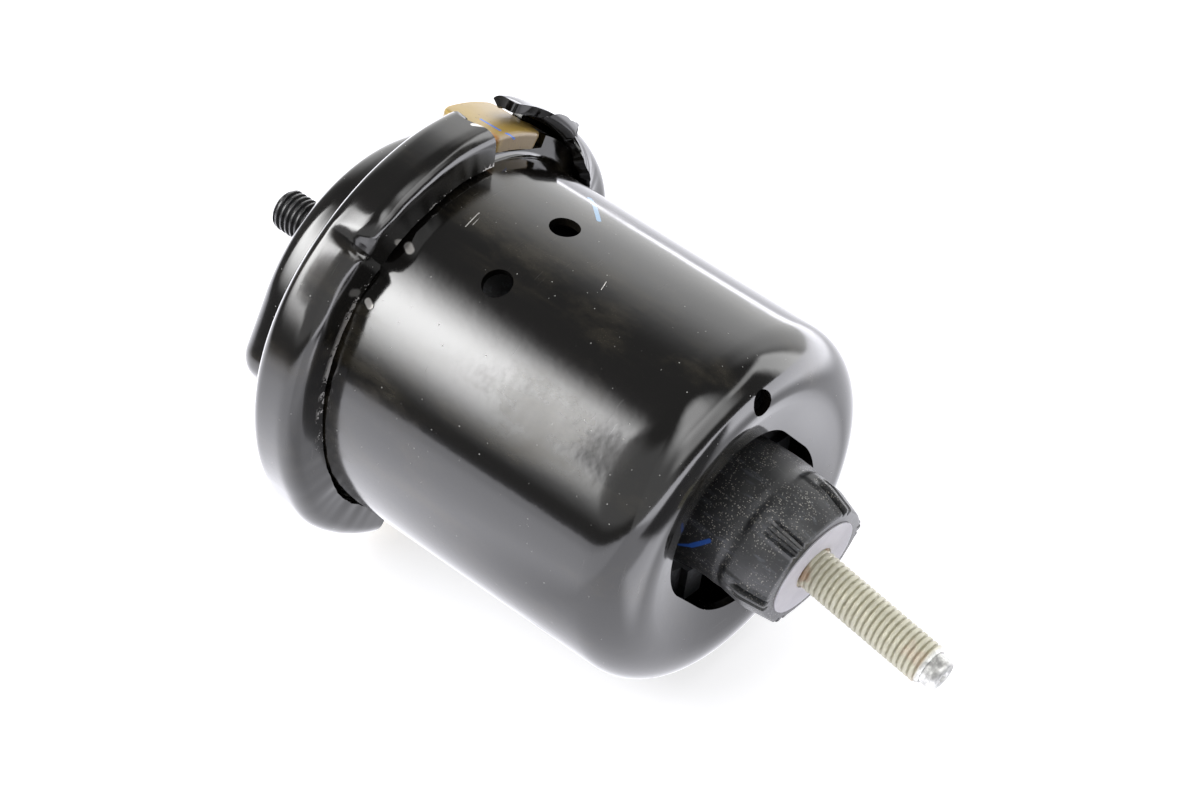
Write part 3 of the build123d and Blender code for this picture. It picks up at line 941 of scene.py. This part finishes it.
@dataclass
class BaseCover:
    """Pressed dish whose flange is rolled over the stack in two long segments."""

    radius: float = 39.5
    wall: float = 2.5
    flange_height: float = 16.5
    heel_radius: float = 55.4
    lip_radius: float = 46.0
    top: float = 29.3
    lip_rise: float = 0.7
    bends: tuple[float, ...] = (6.0, 2.0, 3.4, 4.2)
    window_floor: float = 46.0
    windows: tuple[float, ...] = (204.0, 36.0)
    window_span: float = 24.0
    lobe_radius: float = 7.0
    lobe_rise: float = 2.9
    lobe_angle: float = 318.0
    sag_depth: float = 1.1
    sag_angles: tuple[float, float, float, float] = (285.0, 325.0, 340.0, 359.0)
    sag_reach: tuple[float, float] = (43.0, 52.0)
    pinch_angle: float = 264.8
    dents: tuple[Dent, ...] = (
        Dent(0.0, 1.5, 2.3, 1.0),
        Dent(-7.5, 5.0, -0.9, -0.5),
        Dent(12.0, 8.0, 0.9, 0.6),
    )
    torn_angle: float = 192.0
    torn_fade: tuple[float, float] = (10.0, 42.0)
    torn_reach: float = 13.0
    torn_rise: tuple[float, float] = (80.0, 65.0)
    torn_knee: float = 0.25
    torn_loss: float = 0.15
    flare: float = 1.4
    flare_span: float = 13.0
    stub_span: float = 8.0
    stub_loss: float = 0.6
    corner_span: float = 40.0
    corner_cut: float = 1.45
    long_angle: float = 216.0
    long_span: float = 22.0
    crown_share: float = 0.45
    lip_share: float = 0.8
    wave_reach: float = 0.25
    waves: tuple[Point, ...] = ((3.0, 0.0), (14.0, 4.0), (38.0, 9.0))
    path_pitch: float = 1.1
    smooth_angle: float = 40.0
    steps: int = 360

    def __post_init__(self) -> None:
        """Works out the sheet's path and where its roll begins."""
        path = [
            (0, 0),
            (self.radius, 0),
            (self.radius, self.flange_height),
            (self.heel_radius, self.flange_height),
            (self.heel_radius, self.top),
            (self.lip_radius, self.top + self.lip_rise),
        ]
        self.outline = Workshop.rounded(path, list(self.bends), self.path_pitch)
        heel = self.heel_radius - self.bends[2]
        self.root = next(i for i, (reach, _) in enumerate(self.outline) if reach > heel - 0.01)
        self.rows: dict[Point, int] = {
            (round(reach, 2), round(height, 2)): index for index, (reach, height) in enumerate(self.outline)
        }

    def shell(self) -> bpy.types.Object:
        """Spins the sheet, opens its two gaps and gives it its wall.

        Returns:
            The cover's sheet.
        """
        cover = Workshop.lathe("base_shell", self.outline, self.steps)
        self.open_windows(cover)
        Workshop.press(cover, self.form)
        Workshop.modify(cover, "SOLIDIFY", thickness=self.wall * MM, offset=-1.0)
        return cover

    def open_windows(self, cover: bpy.types.Object) -> None:
        """Deletes the faces in the two gaps.

        Args:
            cover: the spun sheet, without its wall.
        """
        Workshop.pick(cover)
        bpy.ops.object.mode_set(mode="EDIT")
        bpy.ops.mesh.select_all(action="DESELECT")
        bpy.ops.object.mode_set(mode="OBJECT")
        for face in cover.data.polygons:
            centre = face.center / MM
            near = any(abs(bearing(centre) - middle) < self.window_span / 2 for middle in self.windows)
            face.select = near and math.hypot(centre.x, centre.y) > self.window_floor
        bpy.ops.object.mode_set(mode="EDIT")
        bpy.ops.mesh.select_mode(type="FACE")
        bpy.ops.mesh.delete(type="FACE")
        bpy.ops.mesh.select_mode(type="VERT")
        bpy.ops.object.mode_set(mode="OBJECT")

    def form(self, point: Vector) -> Vector:
        """Gives the dish its lobe and the rolled edge its hand-worked shape.

        Args:
            point: a vertex of the spun sheet, in millimetres.

        Returns:
            Its new place.
        """
        reach = math.hypot(point.x, point.y)
        angle = bearing(point)
        row = self.rows.get((round(reach, 2), round(point.z, 2)), 0)
        if row >= self.root:
            reach, height, angle = self.roll(row, angle)
        else:
            reach += self.lobe(reach, angle) - self.sag(angle) * smooth_step(reach, *self.sag_reach)
            height = point.z
        return polar(reach, angle, height)

    def sag(self, angle: float) -> float:
        """How far the rim is pushed in where the mount lies on the ground."""
        rise, full, fall, end = self.sag_angles
        return self.sag_depth * smooth_step(angle, rise, full) * (1 - smooth_step(angle, fall, end))

    def lobe(self, reach: float, angle: float) -> float:
        """How far the dish's lobe moves a point outwards, with flat flanks and a round corner.

        Args:
            reach: the point's distance from the axis.
            angle: degrees about Z.

        Returns:
            The move, in millimetres.
        """
        centre = self.radius + self.lobe_rise - self.lobe_radius
        half = math.acos((self.radius - self.lobe_radius) / centre)
        offset = math.radians(abs((angle - self.lobe_angle + 180) % 360 - 180))
        corner = math.atan2(self.lobe_radius * math.sin(half), centre + self.lobe_radius * math.cos(half))
        if offset > half:
            return 0.0
        if offset > corner:
            plan = self.radius / math.cos(half - offset)
        else:
            side = centre * math.sin(offset)
            plan = centre * math.cos(offset) + math.sqrt(self.lobe_radius**2 - side**2)
        inside = smooth_step(reach, 0.55 * self.radius, 0.85 * self.radius)
        outside = 1 - smooth_step(reach, self.radius + 2.5, self.heel_radius - 5.0)
        return (plan - self.radius) * inside * outside

    def roll(self, row: int, angle: float) -> tuple[float, float, float]:
        """Walks along the sheet from the flange's root to a row, with the bends that hold at an angle.

        Args:
            row: index in the sheet's path.
            angle: degrees about Z.

        Returns:
            Radius, height and angle of the row.
        """
        count = len(self.outline) - 1 - self.root
        climb = (row - self.root) / count
        # The two sides of the gap that faces the camera: the torn end, and the long segment's rounded end
        gone = self.torn_angle - angle
        torn = flare = stub = corner = rounded_end = 0.0
        if gone > -1:
            torn = 1 - smooth_step(gone, *self.torn_fade)
            flare = 1 - smooth_step(gone, 0.0, self.flare_span)
            stub = bump(gone, 0.0, self.stub_span)
            corner = 1 - smooth_step(gone, 0.0, self.corner_span)
        else:
            rounded_end = 1 - smooth_step(angle - self.long_angle, 0.0, self.long_span)
        # The roll bends and reaches a little unevenly round the rim, as hand work does
        sag = self.sag(angle)
        wave, ripple, ragged = (noise.noise(polar(cells, angle, level)) for cells, level in self.waves)
        bend = 1 - 0.04 * torn - 0.07 * sag + 0.02 * wave + 0.015 * ripple
        stretch = 1 + 0.03 * ragged + 0.02 * ripple
        reach, height = self.outline[self.root]
        reach += self.wave_reach * wave * smooth_step(climb, 0.0, 0.3) - sag
        for index in range(self.root, row):
            before, after = self.outline[index], self.outline[index + 1]
            step = math.dist(before, after) * (1 - self.torn_loss * torn)
            course = math.atan2(after[1] - before[1], after[0] - before[0])
            share = (index - self.root) / count
            if share > self.crown_share:
                course = math.pi / 2 + (course - math.pi / 2) * bend
                step *= 1 - self.stub_loss * stub
            if share > self.lip_share:
                step *= stretch
            course += (self.torn_course(share) - course) * torn
            reach += step * math.cos(course)
            height += step * math.sin(course)
        crown = smooth_step(climb, 0.25, 0.75)
        for dent in self.dents:
            depth = crown * bump(angle, self.pinch_angle + dent.offset, dent.width)
            reach -= depth * dent.inward
            height -= depth * dent.downward
        reach += flare * self.flare * smooth_step(climb, 0.0, 0.35)
        height += torn * smooth_step(climb, 0.7, 1.0) * 1.5 * ripple
        # The torn end runs out over the gap at its heel and is cut back at its lip, and the other is set back
        root = smooth_step(climb, 0.0, 0.15)
        angle += self.torn_reach * corner * (root - self.corner_cut * smooth_step(climb, 0.4, 1.0))
        angle += rounded_end * root * (2.0 + 3.5 * bump(climb, 0.35, 0.3))
        return reach, height, angle

    def torn_course(self, share: float) -> float:
        """The way the sheet runs at the torn end, which is domed, at a share of its length.

        Args:
            share: 0 at the flange's root, 1 at the lip.

        Returns:
            The angle from level, in radians.
        """
        steep, over = self.torn_rise
        climbing = min(share / self.torn_knee, 1.0)
        leaning = max(share - self.torn_knee, 0.0) / (1 - self.torn_knee)
        return math.radians(steep * climbing + over * leaning)

    def build(self) -> None:
        """Makes, dresses and places the cover."""
        cover = self.shell()
        Workshop.smooth(cover, self.smooth_angle)
        marks = (((-41.6, -37.2, 24.6), (-42.8, -35.7, 26.4), 0.9),)
        finish = BlackCoat(
            "black_coat_on_base",
            roughness=0.13,
            haze=0.2,
            dust=0.04,
            chips=self.lip_chips,
            marks=marks,
        )
        Workshop.finish(cover, finish, "base", ["base_cover"])

    def lip_chips(self, bench: Bench) -> Wire:
        """Where the coat has broken off the lip.

        Args:
            bench: the material's nodes.

        Returns:
            1 where bare steel shows.
        """
        along, across, height = (bench.axis(name) for name in "XYZ")
        reach = (along * along + across * across) ** 0.5
        ragged = bench.grain(190, 6, 0.8)
        patchy = bench.grain(30, 2, 0.5)
        near_lip = reach.within((self.lip_radius + 1.6) * MM, (self.lip_radius + 0.1) * MM)
        high = height.within((self.top - 3.5) * MM, (self.top - 1.5) * MM)
        return near_lip * high * (ragged + patchy * 0.8).within(0.98, 1.03)


class Thread(Enum):
    """Rolled threads on the mount, as pitch, depth and the crest's share of the pitch."""

    M10_PLATED = (1.5, 0.6, 0.5)
    M10_BLACK = (1.5, 0.8, 0.2)


@dataclass
class Stud:
    """Turned rod with a rolled thread on its widest length, chamfered where asked."""

    name: str
    below: tuple[Point, ...]
    above: tuple[Point, ...]
    thread_start: float
    thread_end: float
    chamfer_start: float
    chamfer_end: float
    thread: Thread
    crest: float = 5.0
    root_flat: float = 0.14
    steps: int = 64
    rows: int = 12

    def outline(self) -> list[Point]:
        """Draws the rod's outline, with a fine run of points on the thread.

        Returns:
            (radius, height) points, from foot to end.
        """
        pitch = self.thread.value[0]
        count = round((self.thread_end - self.thread_start) / pitch * self.rows)
        spread = (self.thread_end - self.thread_start) / count
        run = [(self.crest, self.thread_start + spread * index) for index in range(count + 1)]
        return [*self.below, *run, *self.above]

    def cut(self, point: Vector) -> Vector:
        """Moves a point of the thread's length in to the thread's flanks and chamfers.

        Args:
            point: a vertex of the turned rod, in millimetres.

        Returns:
            Its new place.
        """
        reach = math.hypot(point.x, point.y)
        if abs(reach - self.crest) > 0.01:
            return point
        pitch, depth, flat = self.thread.value
        turn = math.atan2(point.y, point.x) / FULL_TURN
        away = abs((point.z / pitch - turn) % 1.0 - 0.5)
        flank = 0.5 - self.root_flat / 2
        climb = smooth_step(away, flank, flat / 2)
        radius = self.crest - depth * (1 - climb)
        for end, length, sign in (
            (self.thread_start, self.chamfer_start, 1),
            (self.thread_end, self.chamfer_end, -1),
        ):
            if length:
                inset = 1 - min(sign * (point.z - end) / length, 1.0)
                radius = min(radius, self.crest - inset * (depth + 0.1))
        return widened(point, radius / reach)

    def build(self) -> bpy.types.Object:
        """Makes the stud, upright on the origin.

        Returns:
            The stud, without its finish.
        """
        rod = Workshop.lathe(self.name, self.outline(), self.steps)
        Workshop.press(rod, self.cut)
        Workshop.smooth(rod, 50)
        return rod


@dataclass
class CoreStud:
    """Long zinc-plated stud with a smooth pilot end, on the core's leaning axis."""

    length: float = 37.6
    knurl_radius: float = 5.5
    pilot_radius: float = 3.9
    pilot_length: float = 3.6
    pilot_bevel: float = 0.8
    dimple: float = 1.6
    engagement: float = 22.0
    flush: float = 0.3

    def build(self) -> None:
        """Makes, dresses and places the stud."""
        thread_end = self.length - self.pilot_length
        shank = (
            (0, -self.engagement),
            (self.knurl_radius, -self.engagement),
            (self.knurl_radius, -self.flush),
        )
        pilot = (
            (self.pilot_radius, thread_end + 0.05),
            (self.pilot_radius, thread_end + self.pilot_length / 2),
            (self.pilot_radius, self.length - self.pilot_bevel),
            (self.pilot_radius - 0.25, self.length - 0.25),
            (self.pilot_radius - self.pilot_bevel, self.length),
            (self.dimple, self.length),
            (self.dimple * 0.85, self.length - 0.3),
            (self.dimple * 0.5, self.length - 1.3),
            (0, self.length - 1.5),
        )
        stud = Stud(
            "core_stud_threaded",
            below=shank,
            above=pilot,
            thread_start=-self.flush,
            thread_end=thread_end,
            chamfer_start=0.0,
            chamfer_end=1.1,
            thread=Thread.M10_PLATED,
        ).build()
        Workshop.move(stud, lean_matrix())
        Workshop.finish(stud, ZincThread("yellow_zinc"), "core_stud", ["core_stud"])


@dataclass
class BaseStuds:
    """Three black studs pressed through the base."""

    circle: float = 26.5
    angles: tuple[float, ...] = (263.5, 180.0, 96.5)
    length: float = 11.3
    knurl: float = 5.5
    head: float = 6.0
    wall: float = 2.5
    head_height: float = 3.2

    def build(self) -> None:
        """Makes one stud, copies it, and dresses and places them."""
        head = (
            (self.knurl, 0.0),
            (self.knurl, self.wall),
            (self.head, self.wall),
            (self.head, self.wall + self.head_height),
            (0, self.wall + self.head_height),
        )
        first = Stud(
            "base_studs_threaded",
            below=((0, -self.length),),
            above=head,
            thread_start=-self.length,
            thread_end=0.0,
            chamfer_start=1.0,
            chamfer_end=0.0,
            thread=Thread.M10_BLACK,
        ).build()
        studs = [first]
        for _ in self.angles[1:]:
            studs.append(Workshop.add(first.name, first.data.copy()))
        for stud, angle in zip(studs, self.angles):
            spot = Matrix.Translation(polar(self.circle, angle))
            Workshop.move(stud, spot @ Matrix.Rotation(math.radians(angle), 4, "Z"))
        Workshop.clear()
        for stud in studs:
            stud.select_set(True)
        bpy.context.view_layer.objects.active = first
        bpy.ops.object.join()
        Workshop.finish(first, BLACK_PHOSPHATE, "base_stud", ["base_studs"])


@dataclass
class Sleeve:
    """Rubber neck round the core, with a collar of flat pads that leans with the stud."""

    neck: float = 16.6
    foot: float = 100.0
    core_neck: float = 12.4
    collar_length: float = 13.0
    collar_root: float = 16.2
    collar_end: float = 14.7
    end_inset: float = 0.3
    ribs: int = 6
    rib_first: float = 265.0
    pad_rise: float = 0.9
    rib_half_width: float = 2.5
    ridge_half_width: float = 0.45
    rib_step: float = 0.35
    groove_depth: float = 1.2
    wander: float = 0.006
    wander_cells: float = 0.12
    smooth_angle: float = 40.0
    steps: int = 288

    def outline(self) -> list[Point]:
        """Draws the sleeve's section along its bent axis, from its foot up to its end and back.

        Returns:
            (radius, distance) points, where the core's end is at 0.
        """
        bend = -self.collar_length
        low = self.foot - CORE_END.z
        path = [
            (self.core_neck - 0.2, low),
            (self.neck, low),
            (self.neck, bend - 2.0),
            (self.collar_root, bend + 1.0),
            (self.collar_root, bend / 2),
            (self.collar_end, -self.end_inset),
            (self.core_neck - 0.2, -self.end_inset),
        ]
        loop = Workshop.rounded(path, [0.8, 4.0, 2.0, 6.0, 0.7], 0.5)
        return [*loop, loop[0]]

    def pads(self, reach: float, angle: float, height: float) -> float:
        """Works out the flat pads between the ribs, and the two grooves along each rib's ridge.

        Args:
            reach: a point's distance from the axis.
            angle: degrees about the axis.
            height: distance along the axis.

        Returns:
            The point's new distance from the axis.
        """
        span = 360 / self.ribs
        offset = abs((angle - self.rib_first + span / 2) % span - span / 2)
        side = math.radians(offset) * self.collar_root
        along = smooth_step(height, -self.collar_length - 0.5, -self.collar_length + 1.5)
        outside = smooth_step(reach, self.core_neck + 0.4, self.collar_end - 0.3)
        # The pads are flat, so they stand lowest in their middle, and each rib stands a step above them
        flat = self.pad_rise * (1 - (1 - offset / (span / 2)) ** 2)
        rise = self.pad_rise * 1.3 - flat
        rise += self.rib_step * (1 - smooth_step(side, self.rib_half_width - 0.3, self.rib_half_width + 0.5))
        groove = smooth_step(side, self.ridge_half_width - 0.1, self.ridge_half_width + 0.25)
        groove *= 1 - smooth_step(side, self.rib_half_width - 1.1, self.rib_half_width - 0.5)
        cut = smooth_step(height, -self.collar_length + 3.0, -self.collar_length + 5.5)
        rise -= self.groove_depth * groove * cut
        return reach + rise * along * outside

    def shape(self, point: Vector) -> Vector:
        """Shapes the collar and bends the axis over to the stud's.

        Args:
            point: a vertex of the spun sleeve, in millimetres.

        Returns:
            Its new place.
        """
        reach = math.hypot(point.x, point.y)
        angle = bearing(point)
        wander = 1 + self.wander * noise.noise(point * self.wander_cells)
        local = widened(point, self.pads(reach, angle, point.z) / reach * wander)
        over = smooth_step(point.z, -2.2 * self.collar_length, -self.collar_length)
        leaning = lean_matrix() @ local
        root = lean_matrix() @ Vector((0, 0, -self.collar_length))
        upright = local + Vector((root.x, root.y, CORE_END.z))
        return upright.lerp(leaning, over)

    def build(self) -> None:
        """Makes, dresses and places the sleeve."""
        sleeve = Workshop.lathe("neck_sleeve", self.outline(), self.steps)
        Workshop.press(sleeve, self.shape)
        Workshop.smooth(sleeve, self.smooth_angle)
        ink = (
            ((12.6, -10.8, 109.5), (10.6, -12.8, 113.8), 0.55),
            ((10.6, -12.8, 113.8), (7.2, -15.2, 118.0), 0.7),
        )
        finish = Rubber("neck_rubber", roughness=0.42, dust=0.55, dust_heights=(108.0, 140.0), ink=ink)
        Workshop.finish(sleeve, finish, "sleeve", ["core_sleeve"])


@dataclass
class Hidden:
    """Pieces whose solids are right as they are: they only get their finishes."""

    rubber: tuple[str, ...] = (
        "rebound_buffer",
        "main_spring",
        "decoupler_membrane",
        "bellows",
        "flange_seal",
    )
    steel: tuple[str, ...] = ("rebound_plate", "carrier_ring", "bellows_ring", "upper_track_plate")

    def dress(self) -> None:
        """Gives each carried-over solid its material."""
        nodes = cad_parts
        rubber = Rubber("inner_rubber", roughness=0.6).material()
        steel = PlainMetal("plain_steel", colour=(0.32, 0.32, 0.33), stain=(0.16, 0.16, 0.16)).material()
        cast = PlainMetal(
            "cast_aluminium",
            colour=(0.84, 0.82, 0.88),
            stain=(0.68, 0.66, 0.72),
            roughness=0.6,
            metallic=0.0,
            depth=0.05,
        )
        ink = (
            ((-43.9, -25.4, 18.9), (-44.0, -25.1, 24.5), 0.45),
            ((-44.2, -24.9, 26.0), (-44.2, -21.5, 26.9), 0.35),
        )
        nylon = Nylon("tan_nylon", ink=ink).material()
        for name in self.rubber:
            self.paint(nodes[name], rubber)
        for name in self.steel:
            self.paint(nodes[name], steel)
        self.paint(nodes["locating_pin"], BLACK_PHOSPHATE.material())
        self.paint(nodes["core"], cast.material())
        self.paint(nodes["lower_track_plate"], nylon)

    @staticmethod
    def paint(node: bpy.types.Object, material: bpy.types.Material) -> None:
        """Gives a carried-over solid its one material.

        Args:
            node: the solid.
            material: its material.
        """
        node.data.materials.clear()
        node.data.materials.append(material)
        LOG.info("%s: finish %s", node.name, material.name)


@dataclass
class Softbox:
    """Rectangular studio lamp, set by where it stands round the mount."""

    name: str
    elevation: float
    azimuth: float
    distance: float
    size: tuple[float, float]
    radiance: float
    aim: Vector = field(default_factory=lambda: MOUNT_MIDDLE * MM)

    def build(self) -> None:
        """Adds the lamp, turned to the mount."""
        lift = math.radians(self.elevation)
        turn = math.radians(self.azimuth)
        level = AWAY * math.cos(turn) + RIGHTWARD * math.sin(turn)
        way = level * math.cos(lift) + GROUND_UP * math.sin(lift)
        lamp = bpy.data.lights.new(self.name, "AREA")
        lamp.shape = "RECTANGLE"
        lamp.size, lamp.size_y = self.size
        lamp.energy = self.radiance * math.pi * self.size[0] * self.size[1]
        holder = Workshop.add(self.name, lamp)
        side = GROUND_UP.cross(way).normalized()
        high = way.cross(side).normalized()
        holder.matrix_world = standing(self.aim + way * self.distance, side, high, way)
        holder.visible_glossy = False
        holder.visible_camera = False
        LOG.info("%s at %s", self.name, [round(value, 2) for value in holder.location])


@dataclass
class Glow:
    """A soft-edged pale shape in the mirrored room, in degrees round the mount and above the ground.

    The azimuth holds two edges and their softness, the elevation where the lower edge starts and ends
    and where the upper edge starts and ends.
    """

    azimuth: tuple[float, float, float]
    elevation: tuple[float, float, float, float]
    radiance: float
    skew: float = 0.0

    def seen(self, azimuth: Wire, elevation: Wire) -> Wire:
        """How bright the shape is in a direction.

        Args:
            azimuth: direction round the mount, in degrees.
            elevation: direction above the ground, in degrees.

        Returns:
            The radiance.
        """
        low, rise, fall, high = self.elevation
        tall = elevation.within(low, rise) * elevation.within(high, fall)
        if self.skew:
            azimuth = azimuth - (elevation - 45) * self.skew
        return azimuth.between(*self.azimuth) * tall * self.radiance


@dataclass
class Studio:
    """Pale floor, soft lamps, white surround and the camera."""

    floor_size: float = 4.0
    lens: float = 105.0
    eye: tuple[float, float, float] = (-5.6, -709.8, 417.6)
    right: tuple[float, float, float] = (-0.5446, 0.369, 0.7531)
    up: tuple[float, float, float] = (-0.8387, -0.2396, -0.4891)
    ambient: float = 0.5
    room: float = 0.3
    paper: Colour = (0.78, 0.78, 0.82)
    paper_glow: float = 0.68
    mirror_tint: Colour = (0.98, 0.98, 1.04)
    glows: tuple[Glow, ...] = (
        Glow((-106.65, -72, 0.75), (9, 43, 44, 66), 21.0, skew=0.3),
        Glow((-186, -108, 2), (4, 12, 50, 62), 0.9),
        Glow((140, 186, 8), (-10, -5, 40, 60), 1.0),
        Glow((-22, 62, 14), (-10, -5, 30, 66), 2.5),
        Glow((64, 84, 4), (-10, -5, 31, 38), 5.8),
        Glow((84, 107, 4), (26, 30, 33, 38), 4.0),
        Glow((107, 146, 8), (8, 16, 34, 42), 3.8),
        Glow((116, 160, 13), (22, 52, 66, 86), 6.0),
    )
    lamps: tuple[Softbox, ...] = (
        Softbox("key_box", 45, -100, 0.9, (0.9, 0.6), 3.0),
        Softbox("fill_box", 50, 40, 1.1, (0.9, 0.9), 1.4),
    )

    def camera(self) -> None:
        """Adds the camera at the photograph's viewing angle."""
        right = Vector(self.right).normalized()
        up = Vector(self.up)
        back = right.cross(up).normalized()
        up = back.cross(right).normalized()
        lens = bpy.data.cameras.new("camera")
        lens.lens = self.lens
        lens.clip_start = 0.01
        lens.clip_end = 20
        holder = Workshop.add("camera", lens)
        holder.matrix_world = standing(Vector(self.eye) * MM, right, up, back)
        bpy.context.scene.camera = holder

    def floor(self) -> None:
        """Adds the ground under the mount's lowest points."""
        low = min(
            vertex.co.dot(GROUND_UP)
            for name in ("outer_can", "base_cover")
            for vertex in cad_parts[name].data.vertices
        )
        Workshop.clear()
        bpy.ops.mesh.primitive_plane_add(size=self.floor_size)
        ground = bpy.context.object
        ground.name = "ground"
        middle = MOUNT_MIDDLE * MM
        middle += GROUND_UP * (low - middle.dot(GROUND_UP))
        ground.matrix_world = standing(middle, RIGHTWARD, AWAY, GROUND_UP)
        made = bpy.data.materials.new("ground_paper")
        made.use_nodes = True
        bench = Bench(made.node_tree)
        paper = bench.node("ShaderNodeBsdfDiffuse", {"Color": Bench.opaque(self.paper)})
        lit = bench.node("ShaderNodeEmission", {"Color": (1, 1, 1, 1), "Strength": self.paper_glow})
        seen = bench.node("ShaderNodeAddShader", {0: paper, 1: lit})
        tint = Bench.opaque(self.mirror_tint)
        mirrored = bench.node("ShaderNodeEmission", {"Color": tint, "Strength": self.mirrored_floor(bench)})
        clear = bench.node("ShaderNodeBsdfTransparent")
        camera_ray = bench.ray("Is Camera Ray")
        shiny = self.mirror_ray(bench)
        behind = bench.node("ShaderNodeNewGeometry", output="Backfacing")
        lower = bench.node("ShaderNodeMixShader", {0: camera_ray, 1: paper, 2: seen})
        upper = bench.node("ShaderNodeMixShader", {0: shiny, 1: lower, 2: mirrored})
        bench.surface(bench.node("ShaderNodeMixShader", {0: behind, 1: upper, 2: clear}))
        ground.data.materials.append(made)

    @staticmethod
    def mirrored_floor(bench: Bench) -> Wire:
        """Paints what glossy surfaces mirror of the ground, in metres right of and behind the mount.

        Args:
            bench: the ground's nodes.

        Returns:
            The radiance.
        """
        rightward, away = (bench.axis(name) for name in "XY")
        # Pale ground to the left and in front, and two small bright patches near the can
        left = rightward.within(-0.035, -0.11) * (1 - rightward.within(-0.25, -0.6) * 0.7) * 2.1
        front = away.within(-0.03, -0.11) * 1.4
        near = rightward.between(0.028, 0.098, 0.014) * away.between(-0.15, -0.075, 0.015) * 2.6
        near = near + rightward.between(0.083, 0.125, 0.01) * away.between(-0.03, 0.0, 0.012) * 2.2
        # A white card to the right, the mount's shade before it, and dark ground far to the left
        shaded = (away + rightward * 0.36).within(0.0, -0.03) * away.within(-0.36, -0.28)
        card = rightward.within(0.15, 0.26) * (1 - shaded) * 4.4
        dark = rightward.within(0.088, 0.108) * shaded
        far = rightward.within(-0.7, -0.9)
        return (1.75 + left.larger(front) + near + card) * (1 - dark * 0.87) * (1 - far * 0.85)

    @staticmethod
    def mirror_ray(bench: Bench) -> Wire:
        """1 for a ray that a glossy or clear surface has sent on."""
        return bench.ray("Is Glossy Ray").larger(bench.ray("Is Transmission Ray"))

    def surround(self) -> None:
        """Makes the world white to the camera, a soft grey for light, and a studio in mirrored rays."""
        world = bpy.data.worlds.new("surround")
        world.use_nodes = True
        bpy.context.scene.world = world
        bench = Bench(world.node_tree)
        camera_ray = bench.ray("Is Camera Ray")
        shiny = self.mirror_ray(bench)
        way = bench.node("ShaderNodeTexCoord", output="Generated")
        axes = (RIGHTWARD, AWAY, GROUND_UP)
        rightward, away, high = (bench.vector("DOT_PRODUCT", way, tuple(axis)) for axis in axes)
        azimuth = bench.maths("ARCTAN2", rightward, away) * math.degrees(1)
        elevation = bench.maths("ARCSINE", high) * math.degrees(1)
        mirrored = self.room
        for glow in self.glows:
            mirrored = mirrored + glow.seen(azimuth, elevation)
        plain = self.ambient + camera_ray * (1 - self.ambient)
        strength = plain + shiny * (mirrored - self.ambient)
        back = bench.node("ShaderNodeBackground", {"Color": (1, 1, 1, 1), "Strength": strength})
        bench.node("ShaderNodeOutputWorld", {"Surface": back})

    def build(self) -> None:
        """Sets up the whole studio."""
        bpy.context.scene.view_settings.view_transform = "Standard"
        self.camera()
        self.floor()
        self.surround()
        for lamp in self.lamps:
            lamp.build()


def main() -> None:
    """Builds the mount and the studio."""
    logging.basicConfig(level=logging.INFO, format="%(message)s")
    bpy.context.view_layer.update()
    BaseCover().build()
    Can().build()
    Sleeve().build()
    CoreStud().build()
    BaseStuds().build()
    Hidden().dress()
    Studio().build()


if __name__ == "__main__":
    main()
